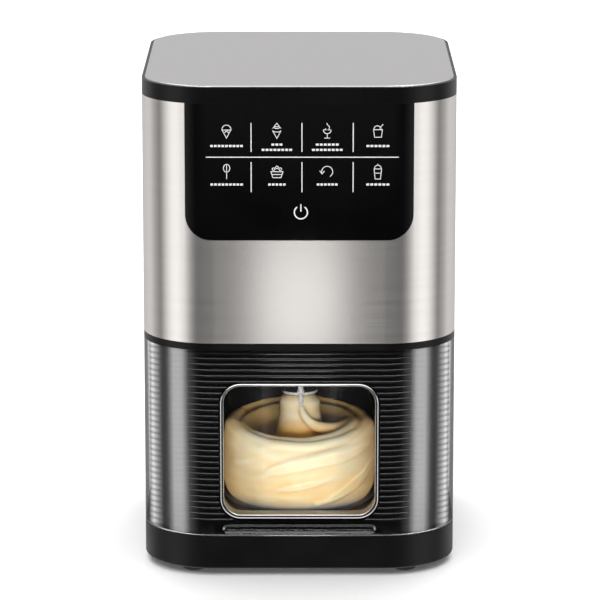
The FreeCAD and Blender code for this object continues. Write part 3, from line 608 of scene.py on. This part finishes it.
def ribbed_liner():
    """The dark sleeve behind the clear cover, with ribs all round: an upright face, rounded off above."""
    low, high = span("ribbed_liner", 2)
    profile = [(LINER_ROOT, low)]
    rib = 0
    round_low, round_high = math.radians(14), math.radians(50)
    radius = RIB_ROUND / (math.sin(round_high) - math.sin(round_low))
    while RIB_FIRST + rib * RIB_PITCH + RIB_HEIGHT < high:
        start = RIB_FIRST + rib * RIB_PITCH
        face_top = start + RIB_HEIGHT - RIB_ROUND
        profile += [(LINER_ROOT, start), (LINER_TIP, start)]
        for k in range(7):
            turn = round_low + (round_high - round_low) * k / 6
            inset = LINER_TIP + radius * (math.cos(round_low) - math.cos(turn))
            profile.append((inset, face_top + radius * (math.sin(turn) - math.sin(round_low))))
        profile.append((LINER_ROOT, start + RIB_HEIGHT))
        rib += 1
    profile += [(LINER_ROOT, high), (LINER_BACK, high), (LINER_BACK, low)]
    mesh = sweep("liner", profile[::-1])
    made = piece("ribbed_sleeve", mesh, "liner_plastic", "housing", "ribbed_liner")
    ends = (FRONT - 5 * MM, FRONT + 30 * MM)
    cutter = solid_from_loops("window", [window_outline(WINDOW_GAP, y) for y in ends])
    cut_through(made, cutter)
    made.data.set_sharp_from_angle(angle=SHARP)


# ---- clear cover and window trim ----------------------------------------------------------------
def clear_cover():
    """The clear wall, with a rolled bead and a groove round its foot and a finger groove at the front."""
    low, high = span("clear_cover", 2)
    foot_top, foot_wall = 29.5 * MM, 4.0 * MM
    bead = 0.55 * MM
    profile = [(0.8 * MM, low)]
    for k in range(7):
        turn = math.pi * k / 6
        profile.append((bead * (1 - math.sin(turn)), low + bead * (1 - math.cos(turn))))
    notch = low + 2 * bead
    profile += [(0.6 * MM, notch), (0.6 * MM, notch + 0.4 * MM)]
    for k in range(4):
        turn = math.pi / 2 * k / 3
        profile.append((0.3 * MM * (1 - math.sin(turn)), notch + 0.7 * MM - 0.3 * MM * math.cos(turn)))
    profile += [(0, high), (COVER_WALL, high), (COVER_WALL, foot_top)]
    profile += [(foot_wall, foot_top), (foot_wall, low)]
    mesh = face_outwards(sweep("cover", profile))
    made = piece("cover_shell", mesh, "clear_plastic", "housing", "clear_cover")
    cut_through(made, finger_groove())
    made.data.set_sharp_from_angle(angle=COVER_SHARP)


def finger_groove():
    """A capsule lying across the front of the cover's foot."""
    radius, depth, half, height = 4.35 * MM, 1.2 * MM, 41 * MM, 28 * MM
    rows = []
    for side in (-1, 1):
        for k in range(9):
            along = math.pi / 2 * (k / 8 if side > 0 else 1 - k / 8)
            reach, ring = radius * math.sin(along), radius * math.cos(along) + 0.001 * MM
            turns = [2 * math.pi * j / 48 for j in range(48)]
            y = FRONT - radius + depth
            x = side * (half + reach)
            rows.append([(x, y + ring * math.cos(t), height + ring * math.sin(t)) for t in turns])
    return solid_from_loops("groove", rows)


def window_bezel():
    """The bright trim round the window: a rolled bead in front and a straight tunnel behind it."""
    low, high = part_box("window_bezel")
    outer = window_outline(0, 0)
    inner = window_opening()
    profile = [(0.0, high.y)]
    for share, width, depth, first in ((0.55, 0.55, 0.9 * MM, 90), (0.82, 0.18, 0.4 * MM, 0)):
        for k in range(9):
            turn = math.radians(first + (-90 if first else 90) * k / 8)
            across = share - width * math.sin(turn) if first else share + width * math.sin(turn)
            profile.append((across, low.y + depth * (1 - math.cos(turn))))
    profile.append((1.0, high.y))
    rows = []
    for share, y in profile:
        edges = zip(outer, inner)
        rows.append([(a[0] + (b[0] - a[0]) * share, y, a[2] + (b[2] - a[2]) * share) for a, b in edges])
    mesh = face_outwards(grid_mesh("bezel", rows, close_columns=True))
    mesh.set_sharp_from_angle(angle=SHARP)
    piece("window_trim", mesh, "bright_trim", "housing", "window_bezel")


def window_opening():
    """The trim's inner edge: in by the side, the sill and the head's own widths."""
    side, sill, head = 2.1 * MM, 2.7 * MM, 1.6 * MM
    low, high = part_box("window_bezel")
    points = []
    middle = (low.z + high.z) / 2
    for x, y, z in window_outline(-side, 0):
        points.append((x, y, z + (sill - side if z < middle else side - head)))
    return points


# ---- dessert ------------------------------------------------------------------------------------
# the top surface in four directions round the tub, in millimetres out from its axis and up
TOP_FRONT = [(44.4, 58.0), (42.8, 65.5), (38.5, 70.0), (30.5, 73.6), (27.0, 72.2), (21.0, 65.5), (15.0, 68.0),
             (12.4, 79.0), (11.2, 90.0), (8.0, 93.2)]
TOP_RIGHT = [(44.6, 70.0), (42.8, 77.0), (38.2, 73.6), (33.5, 78.2), (28.0, 76.2), (22.0, 71.0), (15.5, 72.5),
             (12.6, 81.0), (12.0, 89.0), (8.0, 93.2)]
TOP_BACK = [(44.6, 74.0), (43.0, 81.4), (38.0, 78.4), (32.5, 79.6), (27.0, 75.0), (21.0, 69.0), (15.0, 70.0),
            (12.2, 80.0), (11.2, 90.0), (8.0, 93.2)]
TOP_LEFT = [(44.6, 70.0), (42.4, 77.6), (37.8, 73.8), (34.0, 76.6), (29.0, 72.6), (21.5, 64.0), (15.0, 66.5),
            (12.0, 79.0), (11.4, 90.0), (8.0, 93.2)]

# folds laid on the dessert, as (degrees round from the right, millimetres out, height, thickness) points
DRIP = [(-84, 11.6, 88.2, 1.5), (-80, 13.6, 84.0, 2.3), (-67, 16.2, 79.2, 3.0), (-52, 18.6, 76.4, 3.4),
        (-34, 21.0, 75.0, 3.4), (-12, 24.2, 74.4, 3.0), (10, 28.4, 75.0, 2.2), (24, 31.0, 75.6, 1.2)]
UPPER_FOLD = [(150, 39.7, 77.0, 2.8), (178, 39.0, 75.2, 3.7), (207, 37.9, 72.4, 4.6), (240, 36.7, 69.0, 5.0),
              (268, 36.0, 67.9, 5.0), (300, 36.5, 69.0, 4.7), (330, 38.0, 72.0, 4.2), (365, 39.6, 74.7, 3.5),
              (400, 40.2, 77.4, 2.6)]
LONG_FOLD = [(222, 40.5, 49.0, 2.6), (238, 40.8, 53.0, 4.0), (255, 41.0, 58.0, 5.0), (275, 41.2, 61.6, 5.2),
             (300, 41.0, 64.4, 5.2), (328, 40.8, 67.0, 4.8), (352, 40.4, 69.0, 4.0), (380, 40.2, 71.0, 2.6)]
LEFT_FOLD = [(196, 41.4, 55.5, 2.6), (212, 41.6, 57.6, 3.6), (230, 41.4, 61.0, 3.4), (246, 40.8, 64.6, 2.2)]
RIGHT_FOLD = [(282, 42.0, 37.5, 2.4), (300, 42.2, 41.5, 3.6), (322, 42.2, 48.5, 4.2), (342, 42.0, 55.5, 4.0),
              (362, 41.4, 61.5, 2.8)]
SMALL_FOLD = [(246, 42.4, 43.5, 1.6), (258, 42.8, 46.5, 2.6), (274, 42.8, 49.0, 2.9), (292, 42.6, 51.6, 2.4),
              (304, 42.2, 53.4, 1.4)]


def smooth_path(points, steps):
    """A smooth line through points of any number of values."""
    points = [tuple(p) for p in points]
    ends = [points[0]] + points + [points[-1]]
    path = []
    for i in range(1, len(ends) - 2):
        a, b, c, d = ends[i - 1:i + 3]
        for k in range(steps):
            t = k / steps
            path.append(tuple(0.5 * (2 * q + (r - p) * t + (2 * p - 5 * q + 4 * r - s) * t * t +
                                     (3 * q - p - 3 * r + s) * t ** 3) for p, q, r, s in zip(a, b, c, d)))
    return path + [points[-1]]


def top_profile(turn):
    """The top surface's points in one direction, between the four that are given."""
    quarter = turn / 90.0 % 4
    first = int(quarter)
    share = quarter - first
    share = share * share * (3 - 2 * share)
    sides = [TOP_RIGHT, TOP_BACK, TOP_LEFT, TOP_FRONT]
    pairs = zip(sides[first], sides[(first + 1) % 4])
    return [(a[0] * (1 - share) + b[0] * share, a[1] * (1 - share) + b[1] * share) for a, b in pairs]


def fold(bm, points, sides=20):
    """A thick soft rope along points round the tub, closed at both ends."""
    path = []
    for turn, out, height, thick in smooth_path(points, 6):
        turn = math.radians(turn)
        centre = Vector((out * math.cos(turn), out * math.sin(turn), height)) * MM + AXIS
        path.append((centre, thick * MM))
    loops = []
    for i, (centre, thick) in enumerate(path):
        along = (path[min(i + 1, len(path) - 1)][0] - path[max(i - 1, 0)][0]).normalized()
        across = along.cross(Vector((0, 0, 1))).normalized()
        upright = across.cross(along)
        turns = [2 * math.pi * k / sides for k in range(sides)]
        rims = [across * math.cos(t) + upright * math.sin(t) for t in turns]
        loops.append([bm.verts.new(centre + thick * rim) for rim in rims])
    for a, b in zip(loops, loops[1:]):
        for k in range(sides):
            m = (k + 1) % sides
            bm.faces.new((a[k], a[m], b[m], b[k]))
    bm.faces.new(loops[0][::-1])
    bm.faces.new(loops[-1])


def dessert():
    """Swirled dessert as a churn leaves it: banked up at the back, hollow, with a peak under the paddle."""
    low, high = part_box("ice_cream")
    outer = (high.x - low.x) / 2
    bottom = low.z
    floor_r = 34.5 * MM
    corner = outer - floor_r
    side_r = outer - 0.9 * MM
    columns = 180
    foot = [(0.0, bottom)]
    for k in range(1, 5):
        foot.append((floor_r * k / 4, bottom))
    for k in range(1, 9):
        turn = math.pi / 2 * k / 8
        foot.append((floor_r + (side_r - floor_r) * math.sin(turn), bottom + corner * (1 - math.cos(turn))))
    lines = []
    for j in range(columns):
        turn = 360.0 * j / columns
        top = [(r * MM, z * MM) for r, z in smooth_path(top_profile(turn), 5)]
        start = foot[-1][1]
        side = [(side_r, start + (top[0][1] - start) * k / 12) for k in range(1, 12)]
        at = Vector((math.cos(math.radians(turn)), math.sin(math.radians(turn)), 0))
        lines.append([at * r + AXIS + Vector((0, 0, z)) for r, z in foot + side + top + [(0.0, top[-1][1])]])
    mesh = grid_mesh("dessert", [list(row) for row in zip(*lines)])
    bm = bmesh.new()
    bm.from_mesh(mesh)
    bmesh.ops.remove_doubles(bm, verts=bm.verts, dist=0.01 * MM)
    for points in (DRIP, UPPER_FOLD, LONG_FOLD, LEFT_FOLD, RIGHT_FOLD, SMALL_FOLD):
        fold(bm, points)
    bmesh.ops.recalc_face_normals(bm, faces=bm.faces)
    bm.to_mesh(mesh)
    bm.free()
    made = piece("swirled_dessert", mesh, "dessert", "tub", "ice_cream")
    remesh = made.modifiers.new("remesh", "REMESH")
    remesh.mode, remesh.voxel_size = "VOXEL", 0.75 * MM
    soften = made.modifiers.new("soften", "SMOOTH")
    soften.factor, soften.iterations = 0.5, 10
    mesh = bpy.data.meshes.new_from_object(made.evaluated_get(bpy.context.evaluated_depsgraph_get()))
    made.modifiers.clear()
    made.data = mesh
    for vertex in mesh.vertices:
        settle(vertex, outer, bottom)
    mesh.shade_smooth()


WAVE_HEIGHT = 0.45 * MM


def settle(vertex, outer, bottom):
    """Gives a point of the dessert its fine waves, and holds it against the tub's wall and floor."""
    out = Vector((vertex.co.x - AXIS.x, vertex.co.y - AXIS.y, 0))
    waves = noise.noise(Vector((vertex.co.x * 60, vertex.co.y * 60, vertex.co.z * 220)))
    rise = noise.noise(vertex.co * 90)
    vertex.co.z = max(bottom, vertex.co.z + WAVE_HEIGHT * rise)
    radius = min(outer, out.length + WAVE_HEIGHT * waves)
    if out.length > MM:
        vertex.co.x = AXIS.x + out.x * radius / out.length
        vertex.co.y = AXIS.y + out.y * radius / out.length


# ---- marks on the panel -------------------------------------------------------------------------
# how far the ink stands off the panel, and goes into it
INK_UP = 0.04 * MM


def make_ink():
    """Pale grey printing ink."""
    made, g = start("panel_ink")
    where = g.place()
    uneven = g.noise(where, 900.0, 2.0)
    shader = g.add("BsdfPrincipled", {
        "Base Color": g.mix(uneven, (0.42, 0.42, 0.42, 1), (0.55, 0.55, 0.55, 1)),
        "Roughness": g.spread(uneven, 0.3, 0.7, 0.4, 0.5),
    })
    finish_surface(g, shader)
    return made


def ribbon(bm, points, width, closed=False):
    """A flat line of one width through points on the panel, given as (x, z) in millimetres."""
    path = [Vector(p) * MM for p in points]
    count = len(path)
    sides = []
    for i, here in enumerate(path):
        before = path[i - 1] if i or closed else here
        after = path[(i + 1) % count] if i < count - 1 or closed else here
        first, second = (here - before), (after - here)
        first = first.normalized() if first.length else second.normalized()
        second = second.normalized() if second.length else first
        tangent = (first + second).normalized() if (first + second).length > 1e-6 else second
        across = Vector((-tangent.y, tangent.x))
        reach = width * MM / 2 / max(0.5, across.dot(Vector((-second.y, second.x))))
        sides.append((here + across * reach, here - across * reach))
    front, back = FRONT - INK_UP, FRONT + INK_UP
    loops = []
    for left, right in sides:
        loops.append([bm.verts.new((p.x, y, p.y)) for y in (front, back) for p in (left, right)])
    steps = range(count if closed else count - 1)
    for i in steps:
        a, b = loops[i], loops[(i + 1) % count]
        for k, m in ((0, 1), (1, 3), (3, 2), (2, 0)):
            bm.faces.new((a[k], a[m], b[m], b[k]))
    if not closed:
        for loop in (loops[0], loops[-1]):
            bm.faces.new((loop[0], loop[1], loop[3], loop[2]))


def arc(cx, cz, radius, first, last, steps=20, squash=1.0):
    points = []
    for k in range(steps + 1):
        turn = math.radians(first + (last - first) * k / steps)
        points.append((cx + radius * math.cos(turn), cz + squash * radius * math.sin(turn)))
    return points


def marks(name, strokes, width, ink):
    """A piece of flat lines on the panel, all of one width."""
    bm = bmesh.new()
    for points, closed in strokes:
        ribbon(bm, points, width, closed)
    bmesh.ops.recalc_face_normals(bm, faces=bm.faces)
    mesh = bpy.data.meshes.new(name)
    bm.to_mesh(mesh)
    bm.free()
    made = piece(name, mesh, "panel_glass", "head")
    made.data.materials.clear()
    made.data.materials.append(ink)


def stroke(*points, closed=False):
    return (list(points), closed)


def cone_with_scoop():
    return [stroke((-2.4, 0.4), (0, -4.1), (2.4, 0.4)), stroke((-2.8, 0.5), (2.8, 0.5)),
            stroke(*arc(0, 0.8, 2.5, 0, 180)), stroke((-1.5, -1.2), (0.9, 0.4)),
            stroke((1.5, -1.2), (-0.9, 0.4))]


def cone_with_swirl():
    return [stroke((-2.2, -0.2), (0, -4.3), (2.2, -0.2)), stroke(*arc(0, 0.6, 2.5, 195, 345, squash=0.5)),
            stroke(*arc(0, 0.9, 2.5, 20, 160, squash=0.6)), stroke(*arc(0, 2.2, 1.7, 190, 350, squash=0.5)),
            stroke((-1.6, 2.3), (0, 4.4), (1.6, 2.3))]


def stemmed_glass():
    return [stroke(*arc(0, 0.6, 2.2, 180, 360)), stroke((-2.3, 0.6), (2.3, 0.6)), stroke((0, -1.7), (0, -4)),
            stroke((-1.6, -4.1), (1.6, -4.1)), stroke(*arc(0, 1.9, 1.2, 200, 430, squash=1.1)),
            stroke((0.4, 3.1), (-0.3, 4.4))]


def cup_with_spoon():
    return [stroke((-2.5, 0.7), (-1.9, -3.6), (1.9, -3.6), (2.5, 0.7), closed=True),
            stroke(*arc(-0.3, 0.9, 2.0, 0, 180)), stroke((0.9, 1.6), (2.9, 3.8))]


def whisk():
    return [stroke(*arc(0, 2.0, 1.8, 0, 360, squash=1.25), closed=True), stroke((0, 4.2), (0, -0.2)),
            stroke((0, -0.2), (0, -4.2))]


def bowl_with_pieces():
    bits = [stroke(*arc(x, z, 0.75, 0, 360, 10), closed=True) for x, z in ((-1.9, 1.5), (0, 2.5), (1.9, 1.5))]
    return [stroke((-3.4, 0), (-2.3, -3.4), (2.3, -3.4), (3.4, 0), closed=True),
            stroke((-2.8, -1.6), (2.8, -1.6))] + bits


def turning_arrow():
    return [stroke(*arc(0, 0, 3.1, -60, 200, 28)), stroke((-4.2, 0.6), (-2.9, -1.3), (-1.5, 0.4))]


def tall_cup():
    return [stroke((-2.1, 1.6), (-1.5, -4.2), (1.5, -4.2), (2.1, 1.6), closed=True),
            stroke(*arc(0, 1.8, 1.9, 0, 180)), stroke((0, 3.7), (0, 4.5)), stroke((-1.8, -0.8), (1.8, -0.8))]


BAR_PITCH = 2.1
BAR_SHARE, BAR_GAP = 0.72, 0.14


def bars(cx, cz, width):
    """A row of short plain bars, such as a progress display, of a total width."""
    count = max(3, round(width / BAR_PITCH))
    pitch = width / count
    starts = [cx - width / 2 + pitch * (k + BAR_GAP) for k in range(count)]
    return [stroke((x, cz), (x + pitch * BAR_SHARE, cz)) for x in starts]


def moved(strokes, dx, dz):
    return [([(x + dx, z + dz) for x, z in points], closed) for points, closed in strokes]


# the panel in millimetres: separators, columns, and each row's symbol height, bar height and programs, with
# the widths of the bars under each symbol
SEPARATORS = (-27.1, 1.5, 30.3)
PROGRAM_COLUMNS = (-40.9, -12.6, 15.7, 44.2)
UPPER_PROGRAMS = ((cone_with_scoop, (18.9,)), (cone_with_swirl, (6.8, 17.7)), (stemmed_glass, (13.5, 17.8)),
                  (cup_with_spoon, (13.5,)))
LOWER_PROGRAMS = ((whisk, (18.9,)), (bowl_with_pieces, (10.3,)), (turning_arrow, (12.3,)),
                  (tall_cup, (13.6,)))
PROGRAM_ROWS = ((260.0, 252.2, UPPER_PROGRAMS), (236.7, 230.2, LOWER_PROGRAMS))
BAR_LINE = 3.0
SINGLE_DROP = 0.8


def panel_marks():
    """Touch marks of the panel: separators, a symbol over bars for each program, and the power symbol."""
    ink = make_ink()
    grid = [stroke((-52.6, 245.0), (56, 245.0))]
    for x in SEPARATORS:
        grid.append(stroke((x, 248), (x, 264.5)))
        grid.append(stroke((x, 225), (x, 242.2)))
    symbols, labels = [], []
    for symbol_z, bar_z, programs in PROGRAM_ROWS:
        for x, (symbol, widths) in zip(PROGRAM_COLUMNS, programs):
            symbols += moved(symbol(), x, symbol_z)
            drop = SINGLE_DROP if len(widths) == 1 else 0.0
            for line, width in enumerate(widths):
                labels += bars(x, bar_z - drop - BAR_LINE * line, width)
    power = [stroke(*arc(0.9, 213.4, 3.7, 125, 415, 30)), stroke((0.9, 213.8), (0.9, 218.0))]
    marks("panel_grid", grid, 0.55, ink)
    marks("program_symbols", symbols, 0.4, ink)
    marks("program_bars", labels, 1.2, ink)
    marks("power_symbol", power, 0.72, ink)


# ---- stage --------------------------------------------------------------------------------------
# brightness of the surroundings: for matt surfaces at and above the horizon, and for glossy ones well above
# it, straight up and well below it
FILL_LOW, FILL_HIGH = 0.15, 0.62
RAISED_LEVEL = 3.4
OVERHEAD_LEVEL = 1.15
FLOOR_LEVEL = 1.2
# the small light that gives the steel front its bright middle
GLOW_DISTANCE = 0.35
GLOW_SIZE = (0.06, 0.05)


def make_floor():
    """A plain pale floor, which glossy surfaces don't see."""
    made, g = start("floor")
    where = g.place()
    shade = g.noise(where, 3.0, 2.0)
    shader = g.add("BsdfPrincipled", {
        "Base Color": g.mix(shade, (0.93, 0.93, 0.93, 1), (0.95, 0.95, 0.95, 1)),
        "Roughness": 0.6,
    })
    finish_surface(g, shader)
    mesh = grid_mesh("floor", [[(x, y, 0) for x in (-8, 8)] for y in (-4, 8)], close_rows=False)
    mesh.materials.append(made)
    floor = placed("floor", mesh)
    floor.visible_glossy = False


# brightness seen by glossy surfaces near the horizon, as (degrees round from the front, level)
ROUND_THE_OBJECT = [(0, 0.02), (17, 0.025), (30, 0.06), (39, 0.38), (50, 1.15), (61, 1.55), (72, 1.5),
                    (84, 0.95), (97, 0.22), (106, 0.45), (113, 0.55), (122, 0.85), (134, 0.85),
                    (165, 0.6), (178, 0.3)]


def level_round(g, angle, stops):
    """A brightness that changes with an angle in degrees, from stops at angles."""
    scale = max(level for _, level in stops)
    stops = [(at / 180, level / scale) for at, level in stops]
    return g.product(g.ramp(g.math("DIVIDE", angle, 180.0), *levels(stops)), scale)


def make_world():
    """White for the camera, an even fill for matt surfaces, and tall soft boxes for glossy ones."""
    world = bpy.data.worlds.new("studio")
    world.use_nodes = True
    bpy.context.scene.world = world
    g = Graph(world.node_tree)
    parts = g.add("SeparateXYZ", {0: g.add("TexCoord").outputs["Generated"]}).outputs
    forward = g.product(parts[1], -1.0)
    azimuth = g.math("DEGREES", g.math("ARCTAN2", g.math("ABSOLUTE", parts[0]), forward))
    boxes = level_round(g, azimuth, ROUND_THE_OBJECT)
    ahead = g.spread(azimuth, 12.0, 30.0, 1.0, 0.0)
    horizon = g.product(g.spread(parts[2], -0.192, -0.165, 0.0, 0.24), ahead)
    boxes = g.math("ADD", boxes, horizon)
    behind = g.spread(parts[1], 0.0, 0.6, 0.25, 0.78, smooth=True)
    above = g.mix(g.spread(parts[2], 0.45, 0.6, 0.0, 1.0), behind, grey(RAISED_LEVEL))
    above = g.mix(g.spread(parts[1], 0.3, 0.5, 0.0, 1.0), above, behind)
    raised = g.spread(parts[2], 0.02, 0.16, 0.0, 1.0, smooth=True)
    overhead = g.spread(parts[2], 0.88, 0.95, 0.0, 1.0, smooth=True)
    below = g.spread(parts[2], -0.62, -0.5, 1.0, 0.0)
    glossy = g.mix(overhead, g.mix(raised, boxes, above), grey(OVERHEAD_LEVEL))
    glossy = g.mix(below, glossy, grey(FLOOR_LEVEL))
    rays = g.add("LightPath")
    fill = g.spread(parts[2], 0.0, 0.6, FILL_LOW, FILL_HIGH)
    level = g.mix(rays.outputs["Is Glossy Ray"], fill, glossy)
    level = g.mix(rays.outputs["Is Camera Ray"], level, grey(1.0))
    background = g.add("Background", {"Color": level, "Strength": 1.0})
    g.tree.links.new(background.outputs[0], g.add("OutputWorld").inputs[0])


def area_light(name, position, aim, size, power, visible=False):
    data = bpy.data.lights.new(name, "AREA")
    data.shape = "RECTANGLE"
    data.size, data.size_y = size
    data.energy = power
    light = placed(name, data)
    light.location = position
    light.rotation_mode = "QUATERNION"
    light.rotation_quaternion = (Vector(aim) - Vector(position)).to_track_quat("-Z", "Y")
    light.visible_camera = False
    light.visible_glossy = visible


def make_lights():
    area_light("overhead", (0, 0.3, 1.6), (0, 0.3, 0), (2.4, 2.4), 22.5)
    area_light("backdrop", (0, 2.6, 2.4), (0, 2.6, 0), (5.0, 2.6), 110)
    area_light("key", (-0.25, -1.1, 0.95), (0, -0.05, 0.08), (0.7, 0.5), 4)
    area_light("front", (0.1, -1.7, 0.16), (0, -0.1, 0.07), (0.9, 0.3), 20)
    face_middle = (span("mid_ring", 2)[0] + span("control_panel", 2)[0]) / 2
    z = face_middle - GLOW_DISTANCE * math.tan(CAMERA_PITCH)
    area_light("face_glow", (0, FRONT - GLOW_DISTANCE, z), (0, FRONT, z), GLOW_SIZE, 0.04, visible=True)


# ---- build --------------------------------------------------------------------------------------
def setup_view():
    bpy.context.scene.view_settings.view_transform = "Standard"


setup_view()
make_camera()
make_world()
make_lights()
make_floor()
dress_cad_nodes()
ribbed_liner()
clear_cover()
window_bezel()
dessert()
panel_marks()
